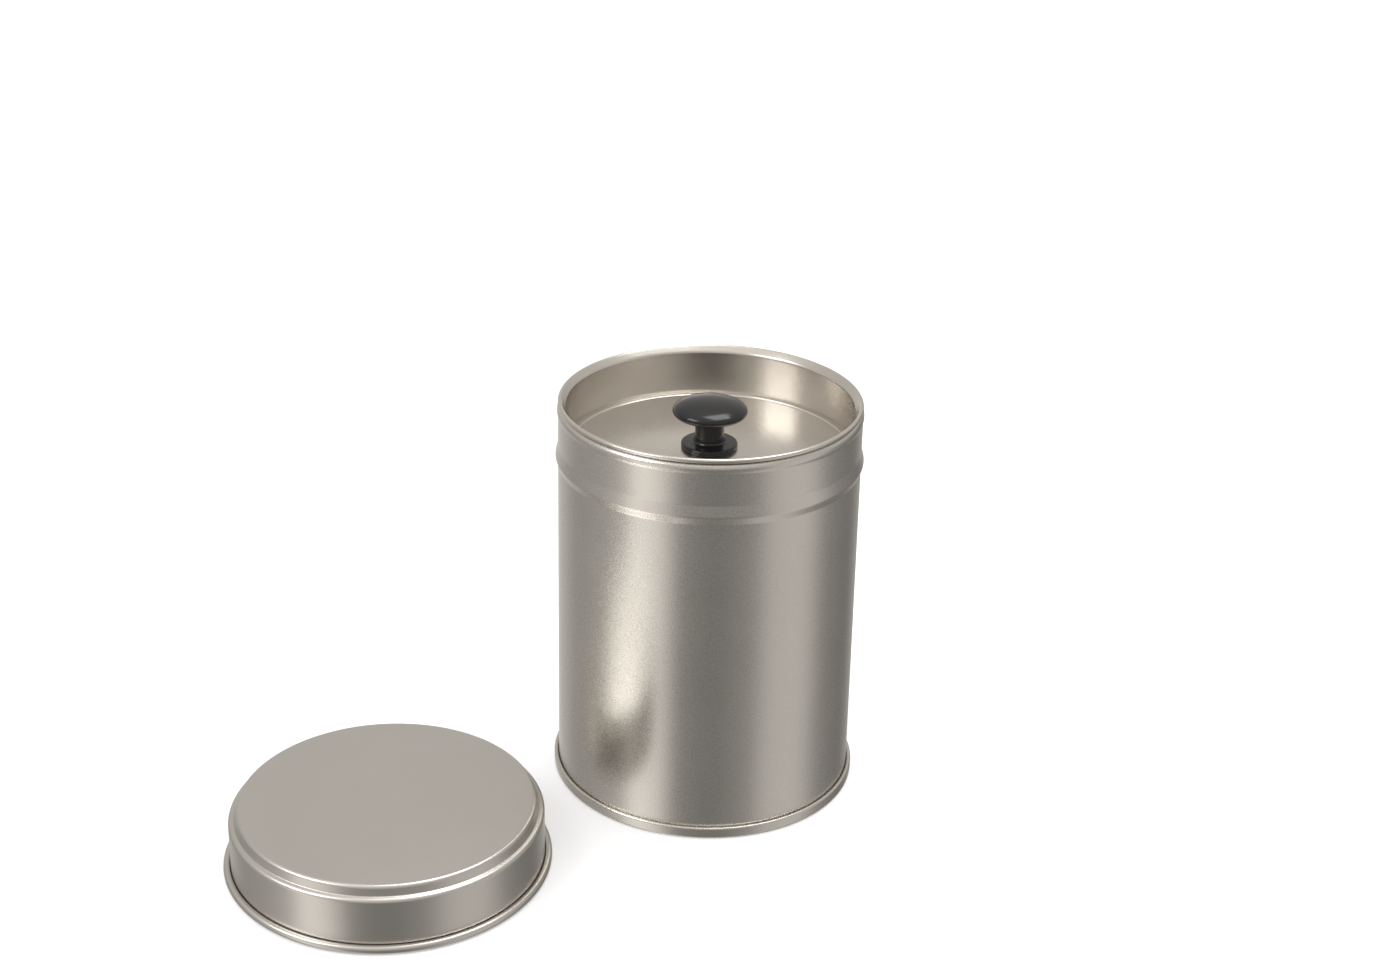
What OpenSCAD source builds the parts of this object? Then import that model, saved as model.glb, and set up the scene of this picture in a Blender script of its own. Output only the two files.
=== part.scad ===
// Round tinplate canister with an inner plug lid and a slip-on outer lid, which lies beside it.
// Millimetres. The body's axis is Z, and the table is at z = 0.
// Every sheet piece is one profile, drawn along one face of the sheet and given its thickness.

/* [Body] */
// Outer diameter of the straight wall
body_d = 76; // [66:0.5:90]
// Height of the rolled rim above the table
body_h = 101.9; // [80:0.1:140]
// Thickness of the body sheet
body_t = 0.28; // [0.22:0.01:0.34]

/* [Rolled rim] */
// How far the rim stands out from the wall
rim_bulge = 0.23; // [0.1:0.01:0.6]
// Radius of the rim's outer shoulder
shoulder_r = 1.6; // [1.3:0.05:2]
// Radius of the lip that rolls inward from the shoulder
lip_r = 0.8; // [0.6:0.05:1]
// Radius of the hollow between the wall and the shoulder
hollow_r = 1.5; // [0.8:0.1:2.5]

/* [Stop bead] */
// Height of the bead's crest below the rim
bead_drop = 13.6; // [10:0.1:20]
// How far the bead's flanks stand out before the crest is rounded
bead_out = 0.7; // [0.4:0.05:1]
// Length of the flank above the crest
bead_rise = 2.9; // [2.4:0.1:3.6]
// Length of the flank below the crest
bead_fall = 2.1; // [1.8:0.1:2.8]
// Radius that rounds the crest
bead_round = 1.4; // [0.8:0.1:2]

/* [Side seam] */
// Width of the folded seam inside the wall
lock_w = 4.5; // [3:0.1:6]
// Width of the fine line that it leaves outside
lock_line_w = 0.3; // [0.2:0.05:0.5]
// Depth of that line
lock_line_d = 0.1; // [0.05:0.01:0.15]

/* [Base end] */
// Thickness of the end's sheet
end_t = 0.3; // [0.24:0.01:0.34]
// Height of the double seam
seam_h = 3; // [2.6:0.1:4]
// Free space between the seam's layers
seam_gap = 0.1; // [0.06:0.01:0.14]
// Inside radius of the folds at the foot of the seam
seam_fold = 0.35; // [0.3:0.01:0.4]
// Height of the end's panel above the table
end_recess = 2.6; // [2:0.1:4]
// Width of the countersunk groove round the panel
groove_w = 1.5; // [1.2:0.1:2.4]
// Depth of the groove from the panel
groove_d = 1.5; // [1.4:0.1:2.4]
// Diameter of the stiffening ring in the panel
ring_d = 52; // [30:1:56]
// Width of the ring's flat
ring_w = 2.4; // [1.6:0.1:4]
// Height of the ring
ring_h = 0.4; // [0.2:0.05:0.6]

/* [Inner lid] */
// Thickness of the inner lid's sheet
pan_t = 0.25; // [0.2:0.01:0.3]
// Depth of the recess, from the top of the curled edge to the disc
pan_depth = 13; // [9:0.1:20]
// Clearance between the inner lid and the rim, at the plug and under the curl
plug_gap = 0.15; // [0.1:0.01:0.25]
// Radius of the curled edge
pan_curl_r = 0.6; // [0.5:0.01:0.8]
// Width of the flat at the foot of the recess wall
moat_w = 1.1; // [0.9:0.1:2]
// How far the disc stands above that flat
moat_d = 0.6; // [0.4:0.05:1]

/* [Knob] */
// Height of the knob above the disc
knob_h = 12.6; // [10.6:0.1:16]
// Diameter of the knob's cap
cap_d = 18.8; // [15:0.1:24]
// Height of the dome above the cap's widest ring
dome_h = 2.85; // [2:0.05:4]
// Depth of the cap's rounded edge below that ring
cap_edge = 1.3; // [0.8:0.05:1.8]
// Width of that rounded edge
cap_round = 1.6; // [0.8:0.05:2.4]
// Diameter of the stem
stem_d = 7.3; // [6:0.1:9]
// Diameter of the foot
foot_d = 14.2; // [12.5:0.1:17]
// Thickness of the foot
foot_t = 1.3; // [1:0.05:2]
// Radius between the stem and the foot
stem_foot_r = 1.1; // [0.6:0.1:1.6]
// Radius between the stem and the cap
stem_cap_r = 0.8; // [0.4:0.1:1.4]

/* [Knob screw] */
// Diameter of the screw
screw_d = 3; // [2.5:0.1:3.5]
// Length of the screw below its head
screw_len = 8; // [6:0.1:8.6]
// Diameter of the screw's head
head_d = 5.6; // [5:0.1:6.4]
// Height of the screw's head
head_h = 2; // [1.6:0.1:2.4]
// Width of the cross slot in the head
slot_w = 0.7; // [0.5:0.05:1]
// Length of the cross slot
slot_len = 3; // [2.4:0.1:3.6]
// Depth of the cross slot
slot_d = 1.1; // [0.6:0.1:1.2]
// Diameter of the washer under the head
washer_d = 9; // [7.5:0.1:11]
// Thickness of the washer
washer_t = 0.5; // [0.4:0.05:1]
// Clearance round the screw in the sheet and the washer
hole_gap = 0.2; // [0.1:0.05:0.4]
// Clearance round the screw in the knob, where the thread bites
thread_gap = 0.1; // [0.05:0.01:0.15]
// Depth of the knob's hole past the screw's end
hole_spare = 1; // [0.5:0.1:1.2]

/* [Outer lid] */
// Thickness of the lid's sheet
lid_t = 0.25; // [0.2:0.01:0.3]
// Height of the lid
lid_h = 16.4; // [12:0.1:22]
// Clearance between the skirt and the rim that it slips over
lid_gap = 0.12; // [0.08:0.01:0.3]
// Width of the shoulder between the skirt and the foot of the raised panel
ledge_w = 1.4; // [1.1:0.1:2.5]
// Width of the slope between the shoulder and the panel
slope_w = 0.7; // [0.4:0.1:1.2]
// Height of the panel above the shoulder's inner edge
step_h = 2.4; // [1.8:0.1:3.2]
// Fall of the shoulder across its width
ledge_fall = 0.3; // [0.1:0.05:0.5]
// Radius that rounds the panel's edge
panel_round = 1; // [0.7:0.1:1.3]
// Radius that rounds the shoulder into the skirt
skirt_round = 1.1; // [0.8:0.1:1.2]
// Radius of the curled edge at the foot of the skirt
lid_curl_r = 1.02; // [0.7:0.01:1.3]
// Distance between the lid and the canister on the table
lid_apart = 12.8; // [6:0.1:40]
// Direction from the canister to the lid
lid_dir = 210.4; // [180:0.1:250]

/* [Hidden] */

$fn = 120;
// Largest step along the arcs of a profile, in degrees
arc_step = 12;
// Where the rim's shoulder tightens into its lip, and where the rolled edges end, in degrees
lip_from = 75;
lip_to = 255;
// Slope of the inner lid's flare, and how far round the two curls run, in degrees
flare = 45;
pan_curl_turn = 275;
lid_curl_turn = 300;
// Inside radius of the sheets' small folds, and of the corner at the foot of the inner lid's recess
fold_r = 0.3;
recess_corner_r = 0.6;
// Radii of the knob's foot, at its lower and upper edge
foot_low_r = 0.2;
foot_top_r = 0.5;
// Room between the side seam's folded strip and the groove below it or the bead above it
lock_clear = 1;
tin = [0.66, 0.64, 0.61];
tin_inside = [0.72, 0.69, 0.64];
black = [0.05, 0.05, 0.05];
steel = [0.58, 0.58, 0.6];

// Body wall, rim and bead
body_r = body_d / 2;
wall_in = body_r - body_t;
rim_r = body_r + rim_bulge;
lip_step = (shoulder_r - lip_r) * [cos(lip_from), sin(lip_from)];
lip_c = [rim_r - shoulder_r + lip_step[0], body_h - lip_r];
shoulder_c = lip_c - lip_step;
hollow_run = hollow_r + shoulder_r - rim_bulge;
hollow_rise = sqrt(pow(hollow_r + shoulder_r, 2) - pow(hollow_run, 2));
hollow_turn = atan2(hollow_rise, hollow_run);
hollow_c = [body_r + hollow_r, shoulder_c[1] - hollow_rise];
bead_z = body_h - bead_drop;

// Double seam: the wall, the end's hook, the body's hook and the seam's outer wall, from the inside out
end_hook_in = body_r + seam_gap;
body_hook_in = end_hook_in + end_t + seam_gap;
seam_wall_in = body_hook_in + body_t + seam_gap;
seam_r = seam_wall_in + end_t;
chuck_out = wall_in - seam_gap;
chuck_in = chuck_out - end_t;
foot_fold_r = (body_hook_in - body_r) / 2;
foot_fold_z = end_t + seam_gap + body_t + foot_fold_r;
top_fold_r = (seam_r - end_hook_in) / 2;
top_fold_z = seam_h - top_fold_r;
hook_end_gap = 2 * seam_gap;
end_hook_z = foot_fold_z - foot_fold_r + hook_end_gap;
body_hook_z = seam_h - end_t - hook_end_gap;
groove_c = [chuck_in - groove_w / 2, end_recess + groove_d - groove_w / 2];
panel_fold = end_t + fold_r;

// Folded side seam: two more layers of the sheet inside the wall
lock_angle = lock_w / wall_in * 180 / PI;
lock_low = end_recess + groove_d + end_t + lock_clear;
lock_top = bead_z - bead_fall - bead_out - lock_clear;
lock_at = 90;

// Inner lid
flare_r = lip_r + plug_gap + pan_t;
recess_r = lip_c[0] - flare_r;
flare_dir = [cos(flare), sin(flare)];
flare_out = [-sin(flare), cos(flare)];
curl_from = lip_c + (flare_r - pan_curl_r) * flare_out - shoulder_c;
curl_reach = shoulder_r + plug_gap + pan_curl_r;
curl_along = curl_from * flare_dir;
curl_run = sqrt(pow(curl_along, 2) - curl_from * curl_from + pow(curl_reach, 2)) - curl_along;
curl_c = shoulder_c + curl_from + curl_run * flare_dir;
disc_z = curl_c[1] + pan_curl_r - pan_depth;
disc_under = disc_z - pan_t;
moat_r = recess_r - moat_w;
hole_r = screw_d / 2 + hole_gap;

// Knob and screw
cap_r = cap_d / 2;
cap_z = disc_z + knob_h - dome_h;
stem_r = stem_d / 2;
foot_r = foot_d / 2;
screw_top = disc_under - washer_t + screw_len;

// Outer lid
skirt_r = rim_r + lid_gap + lid_t;
ledge_r = skirt_r - ledge_w;
panel_r = ledge_r - slope_w;
ledge_z = lid_h - step_h;
lid_curl_c = [skirt_r + lid_curl_r - lid_t, lid_curl_r];
lid_r = lid_curl_c[0] + lid_curl_r;
lid_away = seam_r + lid_apart + lid_r;

function unit(v) = v / norm(v);
function turn_between(a, b) = b - a > 180 ? b - a - 360 : b - a < -180 ? b - a + 360 : b - a;

// Points along an arc about c from angle a, turning by the given angle
function arc(c, r, a, turn) =
    let (n = max(2, ceil(abs(turn) / arc_step)))
    [for (i = [0:n]) c + r * [cos(a + turn * i / n), sin(a + turn * i / n)]];

// Points along a quarter of an ellipse about c, with half widths rx and ry
function quarter(c, rx, ry, a, turn) =
    let (n = ceil(abs(turn) / arc_step))
    [for (i = [0:n]) c + [rx * cos(a + turn * i / n), ry * sin(a + turn * i / n)]];

// The corner at b between a and c, rounded with radius r
function corner(a, b, c, r) =
    let (u = unit(a - b), v = unit(c - b), half = acos(u * v) / 2)
    let (centre = b + unit(u + v) * r / sin(half))
    let (from = b + u * r / tan(half) - centre, to = b + v * r / tan(half) - centre)
    let (start = atan2(from[1], from[0]), end = atan2(to[1], to[0]))
    arc(centre, r, start, turn_between(start, end));

// A line through [radius, height, rounding] points, with each corner rounded
function rounded(p) =
    let (xy = [for (q = p) [q[0], q[1]]], last = len(p) - 1)
    [for (i = [0:last])
        each (i == 0 || i == last || p[i][2] == 0) ? [xy[i]] : corner(xy[i - 1], xy[i], xy[i + 1], p[i][2])];

function without_repeats(p) =
    [for (i = [0:len(p) - 1]) if (i == 0 || norm(p[i] - p[max(i - 1, 0)]) > 0.0005) p[i]];

// The other face of a sheet whose one face runs along p; positive t lies to the left of the way along p
function other_face(p, t) =
    let (last = len(p) - 1)
    [for (i = [0:last])
        let (before = unit(p[max(i, 1)] - p[max(i, 1) - 1]))
        let (after = unit(p[min(i, last - 1) + 1] - p[min(i, last - 1)]))
        let (left = [-before[1], before[0]], mid = unit(left + [-after[1], after[0]]))
        p[i] + mid * t / (mid * left)];

module spun_sheet(path, t) {
    face = without_repeats(path);
    back = other_face(face, t);
    last = len(back) - 1;
    rotate_extrude()
        polygon(concat(face, [for (i = [0:last]) back[last - i]]));
}

// From the hook in the double seam up the wall's outer face, over the bead and round the rim
body_path = concat(
    [[body_hook_in, body_hook_z]],
    arc([body_r + foot_fold_r, foot_fold_z], foot_fold_r, 0, -180),
    rounded([
        [body_r, foot_fold_z, 0],
        [body_r, bead_z - bead_fall, bead_round],
        [body_r + bead_out, bead_z, bead_round],
        [body_r, bead_z + bead_rise, bead_round],
        [body_r, hollow_c[1], 0],
    ]),
    arc(hollow_c, hollow_r, 180, -hollow_turn),
    arc(shoulder_c, shoulder_r, -hollow_turn, lip_from + hollow_turn),
    arc(lip_c, lip_r, lip_from, lip_to - lip_from)
);

module body_shell() {
    color(tin)
    difference() {
        union() {
            spun_sheet(body_path, body_t);
            rotate([0, 0, lock_at - lock_angle / 2])
                rotate_extrude(angle = lock_angle)
                    translate([wall_in - 2 * body_t, lock_low])
                        square([2.5 * body_t, lock_top - lock_low]);
        }
        rotate([0, 0, lock_at])
            translate([body_r - lock_line_d, -lock_line_w / 2, seam_h + lock_clear])
                cube([lock_clear, lock_line_w, lock_top - seam_h - lock_clear]);
    }
}

// From the middle of the end's underside out to the groove, down into the seam and round its hook
end_path = concat(
    rounded([
        [0, end_recess, 0],
        [ring_d / 2 - ring_w / 2 - ring_h, end_recess, panel_fold],
        [ring_d / 2 - ring_w / 2, end_recess - ring_h, panel_fold],
        [ring_d / 2 + ring_w / 2, end_recess - ring_h, panel_fold],
        [ring_d / 2 + ring_w / 2 + ring_h, end_recess, panel_fold],
        [chuck_in - groove_w, end_recess, panel_fold],
        [chuck_in - groove_w, groove_c[1], 0],
    ]),
    arc(groove_c, groove_w / 2, 180, -180),
    rounded([
        [chuck_in, groove_c[1], 0],
        [chuck_in, 0, end_t + seam_fold],
        [seam_r, 0, end_t + seam_fold],
        [seam_r, top_fold_z, 0],
    ]),
    arc([seam_r - top_fold_r, top_fold_z], top_fold_r, 0, 180),
    [[end_hook_in, end_hook_z]]
);

module base_end() {
    color(tin)
        spun_sheet(end_path, end_t);
}

// From the hole in the disc across its top, down and up the recess, and out into the curled edge
pan_path = concat(
    rounded([
        [hole_r, disc_z, 0],
        [moat_r - moat_d, disc_z, pan_t + fold_r],
        [moat_r, disc_z - moat_d, fold_r],
        [recess_r, disc_z - moat_d, recess_corner_r],
        [recess_r, lip_c[1], 0],
    ]),
    arc(lip_c, flare_r, 180, flare - 90),
    arc(curl_c, pan_curl_r, flare + 90, -pan_curl_turn)
);

module inner_lid() {
    color(tin_inside)
        spun_sheet(pan_path, -pan_t);
}

// Half outline of the knob, with its blind hole
knob_outline = concat(
    rounded([
        [screw_d / 2 + thread_gap, disc_z, 0],
        [foot_r, disc_z, foot_low_r],
        [foot_r, disc_z + foot_t, foot_top_r],
        [stem_r, disc_z + foot_t, stem_foot_r],
        [stem_r, cap_z - cap_edge, stem_cap_r],
        [cap_r - cap_round, cap_z - cap_edge, 0],
    ]),
    quarter([cap_r - cap_round, cap_z], cap_round, cap_edge, -90, 90),
    quarter([0, cap_z], cap_r, dome_h, 0, 90),
    [
        [0, screw_top + hole_spare],
        [screw_d / 2 + thread_gap, screw_top + hole_spare],
    ]
);

module knob() {
    color(black)
        rotate_extrude()
            polygon(without_repeats(knob_outline));
}

// Half outline of the screw: the head hangs under the washer, and the point is a short cone
head_z = disc_under - washer_t;
point_h = screw_d / 3;
screw_outline = rounded([
    [0, head_z - head_h, 0],
    [head_d / 2, head_z - head_h, head_h / 2],
    [head_d / 2, head_z, 0],
    [screw_d / 2, head_z, 0],
    [screw_d / 2, screw_top - point_h, 0],
    [screw_d / 6, screw_top, 0],
    [0, screw_top, 0],
]);

module knob_screw() {
    color(steel)
    difference() {
        rotate_extrude()
            polygon(screw_outline);
        for (a = [0, 90])
            rotate([0, 0, a])
                translate([-slot_len / 2, -slot_w / 2, head_z - head_h - 1])
                    cube([slot_len, slot_w, slot_d + 1]);
    }
}

module knob_washer() {
    color(steel)
        translate([0, 0, disc_under - washer_t])
            difference() {
                cylinder(h = washer_t, d = washer_d);
                translate([0, 0, -1])
                    cylinder(h = washer_t + 2, r = hole_r);
            }
}

// From the middle of the lid's top over the raised panel's edge, down the skirt and round its curl
lid_path = concat(
    rounded([
        [0, lid_h, 0],
        [panel_r, lid_h, panel_round],
        [ledge_r, ledge_z, fold_r],
        [skirt_r, ledge_z - ledge_fall, skirt_round],
        [skirt_r, lid_curl_r, 0],
    ]),
    arc(lid_curl_c, lid_curl_r - lid_t, 180, lid_curl_turn)
);

module outer_lid() {
    color(tin)
        translate(lid_away * [cos(lid_dir), sin(lid_dir), 0])
            spun_sheet(lid_path, -lid_t);
}

body_shell();
base_end();
inner_lid();
knob();
knob_screw();
knob_washer();
outer_lid();
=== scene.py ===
import math

import bmesh
import bpy
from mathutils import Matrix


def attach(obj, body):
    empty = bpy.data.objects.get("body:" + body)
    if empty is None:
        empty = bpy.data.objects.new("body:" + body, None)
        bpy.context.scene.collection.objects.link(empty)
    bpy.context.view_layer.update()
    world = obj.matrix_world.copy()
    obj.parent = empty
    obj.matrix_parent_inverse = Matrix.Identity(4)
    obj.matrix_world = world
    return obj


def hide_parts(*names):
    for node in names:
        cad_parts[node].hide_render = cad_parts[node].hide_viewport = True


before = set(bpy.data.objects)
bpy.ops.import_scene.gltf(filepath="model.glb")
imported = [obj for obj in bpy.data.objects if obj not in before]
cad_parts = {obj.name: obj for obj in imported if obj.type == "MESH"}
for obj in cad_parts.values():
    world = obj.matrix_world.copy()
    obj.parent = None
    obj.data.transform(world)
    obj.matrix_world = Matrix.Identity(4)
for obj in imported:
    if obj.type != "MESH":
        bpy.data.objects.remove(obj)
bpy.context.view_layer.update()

mm = 0.001

# Fitted to the photograph's outlines: places in metres in the part's frame, pixels in the full picture
cameraView = {
    "place": (-0.03251, -0.51409, 0.31466),
    "pitchDown": 0.3914,      # radians below the horizon
    "focalPixels": 2234.2,
    "centreX": 579.7,         # where the optical axis meets the picture
    "centreY": 400.5,
    "frameWidth": 1400,
    "frameHeight": 960,
    "sensorWidth": 36,
}


def makeCamera(view):
    data = bpy.data.cameras.new("photoCamera")
    data.sensor_width = view["sensorWidth"]
    data.lens = view["focalPixels"] / view["frameWidth"] * view["sensorWidth"]
    data.shift_x = (view["frameWidth"] / 2 - view["centreX"]) / view["frameWidth"]
    data.shift_y = (view["centreY"] - view["frameHeight"] / 2) / view["frameWidth"]
    camera = bpy.data.objects.new("photoCamera", data)
    camera.location = view["place"]
    camera.rotation_euler = (math.pi / 2 - view["pitchDown"], 0, 0)
    bpy.context.scene.collection.objects.link(camera)
    bpy.context.scene.camera = camera


makeCamera(cameraView)
bpy.context.scene.view_settings.view_transform = "Standard"
print("camera ready")


def connect(tree, value, socket):
    if isinstance(value, bpy.types.NodeSocket):
        tree.links.new(value, socket)
    else:
        socket.default_value = value


def addNode(tree, kind, inputs=None, **settings):
    node = tree.nodes.new(kind)
    for name, value in settings.items():
        setattr(node, name, value)
    for name, value in (inputs or {}).items():
        connect(tree, value, node.inputs[name])
    return node


def mathNode(tree, operation, *values):
    node = addNode(tree, "ShaderNodeMath", operation=operation)
    for value, socket in zip(values, node.inputs):
        connect(tree, value, socket)
    return node.outputs[0]


def greyColor(tone):
    return (tone, tone, tone, 1)


def rampNode(tree, stops, place):
    ramp = addNode(tree, "ShaderNodeValToRGB", {"Fac": place})
    ramp.color_ramp.interpolation = "EASE"
    elements = ramp.color_ramp.elements
    while len(elements) < len(stops):
        elements.new(0.5)
    for element, (position, tone) in zip(elements, stops):
        element.position = position
        element.color = greyColor(tone)
    return ramp.outputs["Color"]


# What the metal mirrors, while everything else is lit by the plain fill. The ring is the tones of the
# cards round the tin, each with its share of a full turn that starts and ends at -X and goes by way of -Y.
studio = {
    "ring": [(0.0, 0.42), (0.055, 0.50), (0.09, 1.18), (0.135, 0.95), (0.19, 0.26), (0.265, 0.22),
             (0.33, 0.30), (0.39, 0.62), (0.45, 0.66), (0.54, 0.26), (0.62, 0.20), (0.70, 0.50),
             (0.75, 1.10), (0.82, 0.60), (0.92, 0.36), (1.0, 0.42)],
    "ringTop": -0.02,         # sine of the elevation up to which only the ring shows
    "skyFrom": 0.30,          # and from which only the sky above it does
    "sky": 0.56,
    "skyEven": 0.62,          # the sky grows lighter from here to the zenith
    "zenith": 0.90,
    "fill": 0.95,
    "warm": (1.0, 0.965, 0.915),
    "backdrop": 1.0,
}


def makeWorld(light):
    world = bpy.data.worlds.new("studio")
    bpy.context.scene.world = world
    world.use_nodes = True
    tree = world.node_tree
    tree.nodes.clear()
    direction = addNode(tree, "ShaderNodeTexCoord").outputs["Generated"]
    parts = addNode(tree, "ShaderNodeSeparateXYZ", {"Vector": direction}).outputs
    turn = mathNode(tree, "ARCTAN2", parts["Y"], parts["X"])
    share = addNode(tree, "ShaderNodeMapRange", {"Value": turn, "From Min": -math.pi, "From Max": math.pi})
    ring = rampNode(tree, light["ring"], share.outputs["Result"])
    skyStops = [(0.0, light["sky"]), (light["skyEven"], light["sky"]), (1.0, light["zenith"])]
    sky = rampNode(tree, skyStops, parts["Z"])
    height = addNode(tree, "ShaderNodeMapRange",
                     {"Value": parts["Z"], "From Min": light["ringTop"], "From Max": light["skyFrom"]})
    mirrored = addNode(tree, "ShaderNodeMix", data_type="RGBA")
    connect(tree, height.outputs["Result"], mirrored.inputs["Factor"])
    connect(tree, ring, mirrored.inputs["A"])
    connect(tree, sky, mirrored.inputs["B"])
    warm = addNode(tree, "ShaderNodeMix", data_type="RGBA", blend_type="MULTIPLY")
    connect(tree, 1, warm.inputs["Factor"])
    connect(tree, mirrored.outputs["Result"], warm.inputs["A"])
    connect(tree, (*light["warm"], 1), warm.inputs["B"])
    cards = addNode(tree, "ShaderNodeBackground", {"Color": warm.outputs["Result"]})
    fill = addNode(tree, "ShaderNodeBackground", {"Color": greyColor(light["fill"])})
    backdrop = addNode(tree, "ShaderNodeBackground", {"Color": greyColor(light["backdrop"])})
    ray = addNode(tree, "ShaderNodeLightPath").outputs
    lighting = addNode(tree, "ShaderNodeMixShader", {"Fac": ray["Is Glossy Ray"]})
    connect(tree, fill.outputs[0], lighting.inputs[1])
    connect(tree, cards.outputs[0], lighting.inputs[2])
    seen = addNode(tree, "ShaderNodeMixShader", {"Fac": ray["Is Camera Ray"]})
    connect(tree, lighting.outputs[0], seen.inputs[1])
    connect(tree, backdrop.outputs[0], seen.inputs[2])
    addNode(tree, "ShaderNodeOutputWorld", {"Surface": seen.outputs[0]})


makeWorld(studio)

floorSettings = {
    "halfSize": 6.0,
    "albedo": 0.86,
    "lift": 0.22,             # light added for the camera alone, so that the paper is white
    "height": -0.05 * mm,
}


def makeFloor(settings):
    size = settings["halfSize"]
    z = settings["height"]
    corners = [(-size, -size, z), (size, -size, z), (size, size, z), (-size, size, z)]
    mesh = bpy.data.meshes.new("floor")
    mesh.from_pydata(corners, [], [(0, 1, 2, 3)])
    floor = bpy.data.objects.new("floor", mesh)
    bpy.context.scene.collection.objects.link(floor)
    material = bpy.data.materials.new("paleFloor")
    material.use_nodes = True
    tree = material.node_tree
    tree.nodes.clear()
    ray = addNode(tree, "ShaderNodeLightPath").outputs
    paper = addNode(tree, "ShaderNodeBsdfDiffuse", {"Color": greyColor(settings["albedo"])})
    lift = addNode(tree, "ShaderNodeEmission",
                   {"Color": greyColor(settings["lift"]), "Strength": ray["Is Camera Ray"]})
    surface = addNode(tree, "ShaderNodeAddShader")
    connect(tree, paper.outputs[0], surface.inputs[0])
    connect(tree, lift.outputs[0], surface.inputs[1])
    clear = addNode(tree, "ShaderNodeBsdfTransparent")
    seen = addNode(tree, "ShaderNodeMixShader", {"Fac": ray["Is Glossy Ray"]})  # the metal mirrors the ring
    connect(tree, surface.outputs[0], seen.inputs[1])
    connect(tree, clear.outputs[0], seen.inputs[2])
    addNode(tree, "ShaderNodeOutputMaterial", {"Surface": seen.outputs[0]})
    mesh.materials.append(material)


makeFloor(floorSettings)

lamps = [
    {"name": "softboxLeft", "place": (-0.75, -0.35, 0.75), "size": 0.5, "power": 3.0},
    {"name": "softboxTop", "place": (0.25, 0.15, 1.1), "size": 0.6, "power": 4.0},
]


def makeLamp(settings):
    data = bpy.data.lights.new(settings["name"], "AREA")
    data.energy = settings["power"]
    data.size = settings["size"]
    lamp = bpy.data.objects.new(settings["name"], data)
    lamp.location = settings["place"]
    lamp.rotation_euler = lamp.location.to_track_quat("Z", "Y").to_euler()  # faces the origin
    bpy.context.scene.collection.objects.link(lamp)


for lampSettings in lamps:
    makeLamp(lampSettings)
print("studio ready")

sheetGrain = {
    "detail": 3,
    "coarseness": 0.7,
    "cloudSize": 55,
    "cloudDetail": 4,
    "noiseMiddle": 0.5,
    "roughnessShare": 0.6,    # how far the grain's shade carries into the roughness
    "bumpDepth": 0.2 * mm,
}


def makeSheetFinish(look):
    group = bpy.data.node_groups.new("sheetFinish", "ShaderNodeTree")
    for name, kind in (("Grain Size", "NodeSocketFloat"), ("Grain", "NodeSocketFloat"),
                       ("Cloud", "NodeSocketFloat"), ("Roughness", "NodeSocketFloat"),
                       ("Tone", "NodeSocketColor")):
        group.interface.new_socket(name, in_out="INPUT", socket_type=kind)
    for name, kind in (("Color", "NodeSocketColor"), ("Roughness", "NodeSocketFloat"),
                       ("Height", "NodeSocketFloat")):
        group.interface.new_socket(name, in_out="OUTPUT", socket_type=kind)
    given = addNode(group, "NodeGroupInput").outputs
    place = addNode(group, "ShaderNodeTexCoord").outputs["Object"]
    grain = addNode(group, "ShaderNodeTexNoise",
                    {"Vector": place, "Scale": given["Grain Size"], "Detail": look["detail"],
                     "Roughness": look["coarseness"]}).outputs["Fac"]
    cloud = addNode(group, "ShaderNodeTexNoise",
                    {"Vector": place, "Scale": look["cloudSize"],
                     "Detail": look["cloudDetail"]}).outputs["Fac"]
    grainShift = mathNode(group, "SUBTRACT", grain, look["noiseMiddle"])
    grainShade = mathNode(group, "MULTIPLY", grainShift, given["Grain"])
    cloudShift = mathNode(group, "SUBTRACT", cloud, look["noiseMiddle"])
    cloudShade = mathNode(group, "MULTIPLY", cloudShift, given["Cloud"])
    shade = mathNode(group, "ADD", grainShade, cloudShade)
    tone = addNode(group, "ShaderNodeVectorMath", operation="SCALE")
    connect(group, given["Tone"], tone.inputs[0])
    connect(group, mathNode(group, "ADD", shade, 1.0), tone.inputs["Scale"])
    roughShade = mathNode(group, "MULTIPLY", shade, look["roughnessShare"])
    rough = mathNode(group, "ADD", given["Roughness"], roughShade)
    addNode(group, "NodeGroupOutput", {"Color": tone.outputs[0], "Roughness": rough, "Height": grain})
    return group


sheetFinish = makeSheetFinish(sheetGrain)


def addBump(tree, height, strength, depth):
    bump = addNode(tree, "ShaderNodeBump", {"Height": height, "Strength": strength, "Distance": depth})
    return bump.outputs["Normal"]


def sheetMaterial(name, look):
    material = bpy.data.materials.new(name)
    material.use_nodes = True
    tree = material.node_tree
    shader = tree.nodes["Principled BSDF"]
    finish = addNode(tree, "ShaderNodeGroup", node_tree=sheetFinish)
    connect(tree, (*look["tone"], 1), finish.inputs["Tone"])
    connect(tree, look["roughness"], finish.inputs["Roughness"])
    connect(tree, look["grain"], finish.inputs["Grain"])
    connect(tree, look["cloud"], finish.inputs["Cloud"])
    connect(tree, look["grainSize"], finish.inputs["Grain Size"])
    normal = addBump(tree, finish.outputs["Height"], look["bump"], sheetGrain["bumpDepth"])
    connect(tree, normal, shader.inputs["Normal"])
    connect(tree, finish.outputs["Color"], shader.inputs["Base Color"])
    connect(tree, finish.outputs["Roughness"], shader.inputs["Roughness"])
    connect(tree, 1, shader.inputs["Metallic"])
    return material


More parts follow.
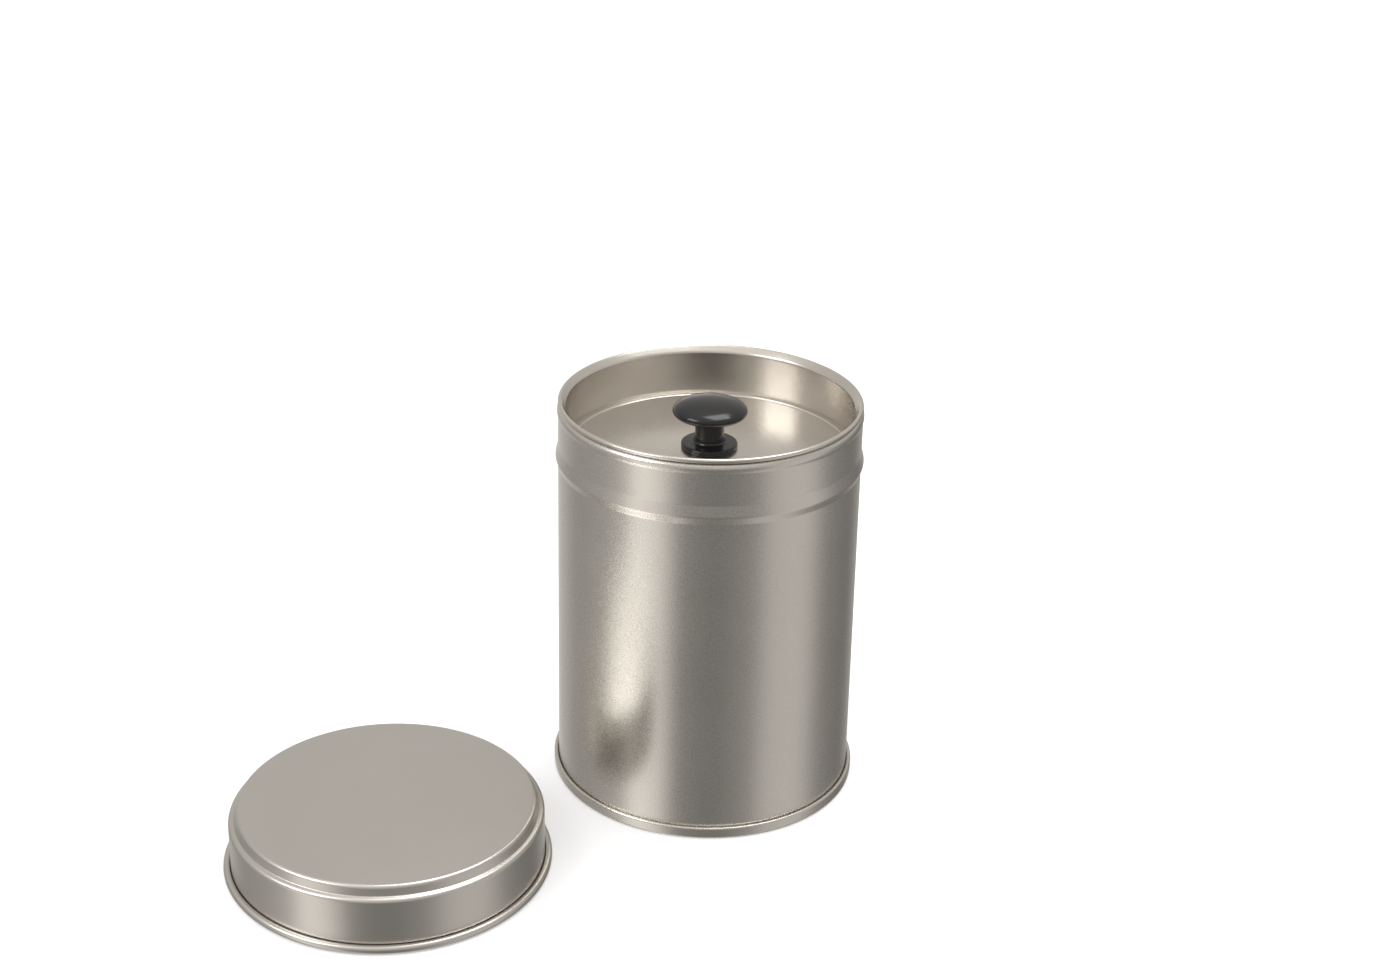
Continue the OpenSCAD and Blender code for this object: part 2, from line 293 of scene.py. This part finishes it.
tinplate = sheetMaterial("tinplate", {
    "tone": (0.69, 0.665, 0.625),
    "roughness": 0.27,
    "grain": 0.30,
    "cloud": 0.08,
    "grainSize": 2300,
    "bump": 0.10,
})
innerLidTin = sheetMaterial("innerLidTin", {
    "tone": (0.72, 0.685, 0.635),
    "roughness": 0.24,
    "grain": 0.16,
    "cloud": 0.10,
    "grainSize": 2600,
    "bump": 0.06,
})
lidTin = sheetMaterial("lidTin", {
    "tone": (0.66, 0.635, 0.60),
    "roughness": 0.30,
    "grain": 0.10,
    "cloud": 0.05,
    "grainSize": 2600,
    "bump": 0.05,
})
platedSteel = sheetMaterial("platedSteel", {
    "tone": (0.60, 0.60, 0.62),
    "roughness": 0.32,
    "grain": 0.15,
    "cloud": 0.15,
    "grainSize": 1500,
    "bump": 0.08,
})

knobFinish = {
    "tone": (0.012, 0.012, 0.013),
    "roughnessLeast": 0.128,
    "roughnessMost": 0.192,
    "waveSize": 140,
    "waveStrength": 0.05,
    "waveDepth": 0.2 * mm,
}


def knobMaterial(look):
    material = bpy.data.materials.new("knobPlastic")
    material.use_nodes = True
    tree = material.node_tree
    shader = tree.nodes["Principled BSDF"]
    place = addNode(tree, "ShaderNodeTexCoord").outputs["Object"]
    wave = addNode(tree, "ShaderNodeTexNoise", {"Vector": place, "Scale": look["waveSize"]}).outputs["Fac"]
    rough = addNode(tree, "ShaderNodeMapRange",
                    {"Value": wave, "To Min": look["roughnessLeast"], "To Max": look["roughnessMost"]})
    connect(tree, rough.outputs["Result"], shader.inputs["Roughness"])
    normal = addBump(tree, wave, look["waveStrength"], look["waveDepth"])
    connect(tree, normal, shader.inputs["Normal"])
    connect(tree, (*look["tone"], 1), shader.inputs["Base Color"])
    return material


knobPlastic = knobMaterial(knobFinish)

for nodeName in ("knob_screw", "knob_washer"):
    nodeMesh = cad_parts[nodeName].data
    nodeMesh.materials.clear()
    nodeMesh.materials.append(platedSteel)
    nodeMesh.shade_smooth()
print("finishes ready")

# Every spun piece is a path in millimetres that is turned round the tin's axis. A step of the path is a
# point (radius, height), a rounded corner (radius, height, round) or an arc (centre, round, start, turn).
spin = {
    "arcStep": 4.0,           # degrees between an arc's points
    "turns": 288,             # points round the axis
    "sharpFrom": 35,          # degrees between two faces that make an edge
    "weld": 0.001 * mm,
    "leastGap": 1e-4,         # millimetres between two points of a path
}


def arcPoints(centre, radius, start, turn):
    count = max(2, math.ceil(abs(turn) / spin["arcStep"]))
    angles = [math.radians(start + turn * i / count) for i in range(count + 1)]
    across, up = radius if isinstance(radius, tuple) else (radius, radius)
    return [(centre[0] + across * math.cos(a), centre[1] + up * math.sin(a)) for a in angles]


def roundCorner(before, corner, after, radius):
    ways = []
    for end in (before, after):
        run = math.dist(end, corner)
        ways.append(((end[0] - corner[0]) / run, (end[1] - corner[1]) / run))
    half = math.acos(sum(a * b for a, b in zip(*ways))) / 2
    reach = radius / math.tan(half)
    bisector = [a + b for a, b in zip(*ways)]
    size = math.hypot(*bisector)
    centre = [c + b / size * radius / math.sin(half) for c, b in zip(corner, bisector)]
    first, last = [math.atan2(corner[1] + way[1] * reach - centre[1], corner[0] + way[0] * reach - centre[0])
                   for way in ways]
    turn = (last - first + math.pi) % (2 * math.pi) - math.pi
    return arcPoints(centre, radius, math.degrees(first), math.degrees(turn))


def drawPath(steps):
    points = []
    for index, step in enumerate(steps):
        if len(step) == 4:
            points += arcPoints(*step)
        elif len(step) == 3:
            following = steps[index + 1]
            after = arcPoints(*following)[0] if len(following) == 4 else following[:2]
            points += roundCorner(points[-1], step[:2], after, step[2])
        else:
            points.append(step)
    clean = points[:1]
    for point in points[1:]:
        if math.dist(point, clean[-1]) > spin["leastGap"]:
            clean.append(point)
    return clean


def sheetOutline(steps, thick):   # the sheet's second face is this far to the left of the path
    path = drawPath(steps)
    other = []
    for index, point in enumerate(path):
        before = path[max(index - 1, 0)]
        after = path[min(index + 1, len(path) - 1)]
        run = math.dist(before, after)
        other.append((point[0] - (after[1] - before[1]) / run * thick,
                      point[1] + (after[0] - before[0]) / run * thick))
    if path[0][0] == 0:
        other[0] = (0, other[0][1])   # a sheet that starts on the axis closes there
    return path + other[::-1]


def makeSpinTree():
    tree = bpy.data.node_groups.new("spunSheet", "GeometryNodeTree")
    sockets = {}
    for name, kind in (("Outline", "NodeSocketGeometry"), ("Outline Points", "NodeSocketInt"),
                       ("Turns", "NodeSocketInt"), ("Finish", "NodeSocketMaterial")):
        sockets[name] = tree.interface.new_socket(name, in_out="INPUT", socket_type=kind).identifier
    tree.interface.new_socket("Sheet", in_out="OUTPUT", socket_type="NodeSocketGeometry")
    given = addNode(tree, "NodeGroupInput").outputs
    across = mathNode(tree, "ADD", given["Outline Points"], 1)
    around = mathNode(tree, "ADD", given["Turns"], 1)
    grid = addNode(tree, "GeometryNodeMeshGrid", {"Vertices X": across, "Vertices Y": around})
    index = addNode(tree, "GeometryNodeInputIndex").outputs[0]
    rowMiddle = mathNode(tree, "ADD", index, 0.5)   # keeps the division clear of a whole number
    row = mathNode(tree, "FLOOR", mathNode(tree, "DIVIDE", rowMiddle, around))
    column = mathNode(tree, "SUBTRACT", index, mathNode(tree, "MULTIPLY", row, around))
    where = addNode(tree, "GeometryNodeInputPosition").outputs[0]
    pick = addNode(tree, "GeometryNodeSampleIndex", data_type="FLOAT_VECTOR")
    connect(tree, given["Outline"], pick.inputs["Geometry"])
    connect(tree, where, pick.inputs["Value"])
    connect(tree, mathNode(tree, "MODULO", row, given["Outline Points"]), pick.inputs["Index"])
    spot = addNode(tree, "ShaderNodeSeparateXYZ", {"Vector": pick.outputs["Value"]}).outputs
    turn = mathNode(tree, "DIVIDE", mathNode(tree, "MULTIPLY", column, 2 * math.pi), given["Turns"])
    x = mathNode(tree, "MULTIPLY", spot["X"], mathNode(tree, "COSINE", turn))
    y = mathNode(tree, "MULTIPLY", spot["X"], mathNode(tree, "SINE", turn))
    place = addNode(tree, "ShaderNodeCombineXYZ", {"X": x, "Y": y, "Z": spot["Z"]}).outputs[0]
    moved = addNode(tree, "GeometryNodeSetPosition", {"Geometry": grid.outputs["Mesh"], "Position": place})
    closed = addNode(tree, "GeometryNodeMergeByDistance",
                     {"Geometry": moved.outputs[0], "Distance": spin["weld"]})
    real = addNode(tree, "GeometryNodeRealizeInstances", {"Geometry": closed.outputs[0]})
    finish = addNode(tree, "GeometryNodeSetMaterial",
                     {"Geometry": real.outputs[0], "Material": given["Finish"]})
    addNode(tree, "NodeGroupOutput", {"Sheet": finish.outputs[0]})
    return tree, sockets


spinTree, spinSockets = makeSpinTree()


def spinPiece(name, outline, material, centre=(0, 0)):
    drawing = bpy.data.meshes.new(name)
    drawing.from_pydata([(radius * mm, 0, height * mm) for radius, height in outline], [], [])
    piece = bpy.data.objects.new(name, drawing)
    bpy.context.scene.collection.objects.link(piece)
    modifier = piece.modifiers.new("spin", "NODES")
    modifier.node_group = spinTree
    modifier[spinSockets["Outline Points"]] = len(outline)
    modifier[spinSockets["Turns"]] = spin["turns"]
    modifier[spinSockets["Finish"]] = material
    bpy.context.view_layer.update()
    mesh = bpy.data.meshes.new_from_object(piece.evaluated_get(bpy.context.evaluated_depsgraph_get()))
    piece.modifiers.clear()
    piece.data = mesh
    shape = bmesh.new()
    shape.from_mesh(mesh)
    bmesh.ops.recalc_face_normals(shape, faces=shape.faces)
    bmesh.ops.translate(shape, verts=shape.verts, vec=(centre[0] * mm, centre[1] * mm, 0))
    shape.to_mesh(mesh)
    shape.free()
    mesh.shade_smooth()
    mesh.set_sharp_from_angle(angle=math.radians(spin["sharpFrom"]))
    return piece


bodySheet = {
    "thick": 0.28,
    "wallR": 38,
    "hookR": 38.5,            # the edge turned up inside the seam
    "hookTopZ": 2.5,
    "hookBendZ": 0.93,
    "hookBend": 0.25,
    "beadLowZ": 86.2,
    "beadZ": 88.3,
    "beadTopZ": 91.2,
    "beadOut": 0.7,
    "beadRound": 1.4,
    "neckZ": 99.155,
    "neckRound": 1.5,
    "neckLean": 22.21,        # degrees that the neck leans in
    "rimRound": 1.6,
    "rimTurnedTo": 75,        # degrees above level, where the curl starts
    "curlRound": 0.8,
    "curlTurn": 180,
}


def bodyPath(size):
    neckCentre = (size["wallR"] + size["neckRound"], size["neckZ"])
    lean = math.radians(size["neckLean"])
    reach = size["neckRound"] + size["rimRound"]
    rimCentre = (neckCentre[0] - reach * math.cos(lean), neckCentre[1] + reach * math.sin(lean))
    tighter = size["rimRound"] - size["curlRound"]
    curlStart = math.radians(size["rimTurnedTo"])
    curlCentre = (rimCentre[0] + tighter * math.cos(curlStart), rimCentre[1] + tighter * math.sin(curlStart))
    return [
        (size["hookR"], size["hookTopZ"]),
        ((size["hookR"] - size["hookBend"], size["hookBendZ"]), size["hookBend"], 0, -180),
        (size["wallR"], size["beadLowZ"], size["beadRound"]),
        (size["wallR"] + size["beadOut"], size["beadZ"], size["beadRound"]),
        (size["wallR"], size["beadTopZ"], size["beadRound"]),
        (neckCentre, size["neckRound"], 180, -size["neckLean"]),
        (rimCentre, size["rimRound"], -size["neckLean"], size["neckLean"] + size["rimTurnedTo"]),
        (curlCentre, size["curlRound"], size["rimTurnedTo"], size["curlTurn"]),
    ]


body = spinPiece("bodySheet", sheetOutline(bodyPath(bodySheet), bodySheet["thick"]), tinplate)
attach(body, "canister")
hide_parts("body_shell")

baseSheet = {
    "thick": 0.3,
    "panelZ": 2.6,
    "ringInR": 24.4,          # a shallow ring is pressed down into the panel
    "ringOutR": 27.6,
    "ringDeep": 0.4,
    "bend": 0.6,
    "wellR": 35.82,
    "wellTopZ": 3.35,
    "wellBend": 0.75,
    "seamR": 39.175,
    "seamBend": 0.65,
    "seamTopZ": 2.46,
    "seamTopBend": 0.535,
    "hookR": 38.1,
    "hookEndZ": 0.88,
}


def basePath(size):
    ringZ = size["panelZ"] - size["ringDeep"]
    wallR = size["wellR"] + 2 * size["wellBend"]
    return [
        (0, size["panelZ"]),
        (size["ringInR"], size["panelZ"], size["bend"]),
        (size["ringInR"] + size["ringDeep"], ringZ, size["bend"]),
        (size["ringOutR"] - size["ringDeep"], ringZ, size["bend"]),
        (size["ringOutR"], size["panelZ"], size["bend"]),
        (size["wellR"], size["panelZ"], size["bend"]),
        ((size["wellR"] + size["wellBend"], size["wellTopZ"]), size["wellBend"], 180, -180),
        (wallR, 0, size["seamBend"]),
        (size["seamR"], 0, size["seamBend"]),
        ((size["seamR"] - size["seamTopBend"], size["seamTopZ"]), size["seamTopBend"], 0, 180),
        (size["hookR"], size["hookEndZ"]),
    ]


base = spinPiece("baseSheet", sheetOutline(basePath(baseSheet), baseSheet["thick"]), tinplate)
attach(base, "canister")
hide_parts("base_end")

innerLidSheet = {
    "thick": -0.25,
    "holeR": 1.7,
    "discZ": 90.138,
    "discR": 33.937,
    "discRound": 0.55,
    "grooveStep": 0.6,        # the groove round the disc is as deep as its slope is wide
    "grooveRound": 0.3,
    "wallR": 35.637,
    "wallRound": 0.6,
    "flareZ": 101.1,
    "flareRound": 1.2,
    "flareTurn": 45,
    "curlR": 37.427,
    "curlZ": 102.536,
    "curlRound": 0.6,
    "curlTurn": 275,
}


def innerLidPath(size):
    grooveZ = size["discZ"] - size["grooveStep"]
    flareCentre = (size["wallR"] + size["flareRound"], size["flareZ"])
    return [
        (size["holeR"], size["discZ"]),
        (size["discR"], size["discZ"], size["discRound"]),
        (size["discR"] + size["grooveStep"], grooveZ, size["grooveRound"]),
        (size["wallR"], grooveZ, size["wallRound"]),
        (flareCentre, size["flareRound"], 180, -size["flareTurn"]),
        ((size["curlR"], size["curlZ"]), size["curlRound"], 180 - size["flareTurn"], -size["curlTurn"]),
    ]


innerLid = spinPiece("innerLidSheet", sheetOutline(innerLidPath(innerLidSheet), innerLidSheet["thick"]),
                     innerLidTin)
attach(innerLid, "inner_lid_and_knob")
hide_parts("inner_lid")

knobMoulding = {
    "boreR": 1.6,
    "boreTopZ": 98.388,
    "footR": 7.1,
    "footTall": 1.3,
    "footLowRound": 0.2,
    "footTopRound": 0.5,
    "stemR": 3.65,
    "stemFootRound": 1.1,
    "stemTopRound": 0.8,
    "capZ": 98.588,
    "capFlatR": 7.8,
    "capEdge": (1.6, 1.3),    # how far the cap's lower edge bulges out and up
    "capCrown": 2.85,
}


def knobPath(size, footZ):
    footTopZ = footZ + size["footTall"]
    out, up = size["capEdge"]
    edgeZ = size["capZ"] + up
    return [
        (size["boreR"], footZ),
        (size["footR"], footZ, size["footLowRound"]),
        (size["footR"], footTopZ, size["footTopRound"]),
        (size["stemR"], footTopZ, size["stemFootRound"]),
        (size["stemR"], size["capZ"], size["stemTopRound"]),
        ((size["capFlatR"], edgeZ), (out, up), -90, 90),
        ((0, edgeZ), (size["capFlatR"] + out, size["capCrown"]), 0, 90),
        (0, size["boreTopZ"]),
        (size["boreR"], size["boreTopZ"]),
    ]


knobPiece = spinPiece("knobMoulding", drawPath(knobPath(knobMoulding, innerLidSheet["discZ"])), knobPlastic)
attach(knobPiece, "inner_lid_and_knob")
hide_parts("knob")

lidSheet = {
    "thick": -0.25,
    "centre": (-79.6704, -46.7423),   # where the lid lies on the table
    "topZ": 16.4,
    "panelR": 36.5,
    "panelRound": 1,
    "stepR": 37.2,
    "stepZ": 14,
    "stepRound": 0.3,
    "skirtR": 38.6,
    "shoulderZ": 13.7,
    "shoulderRound": 1.1,
    "curlZ": 1.02,
    "curlRound": 0.77,
    "curlTurn": 300,
}


def lidPath(size):
    return [
        (0, size["topZ"]),
        (size["panelR"], size["topZ"], size["panelRound"]),
        (size["stepR"], size["stepZ"], size["stepRound"]),
        (size["skirtR"], size["shoulderZ"], size["shoulderRound"]),
        ((size["skirtR"] + size["curlRound"], size["curlZ"]), size["curlRound"], 180, size["curlTurn"]),
    ]


outerLid = spinPiece("outerLidSheet", sheetOutline(lidPath(lidSheet), lidSheet["thick"]), lidTin,
                     lidSheet["centre"])
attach(outerLid, "outer_lid")
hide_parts("outer_lid")
print("spun sheets ready")
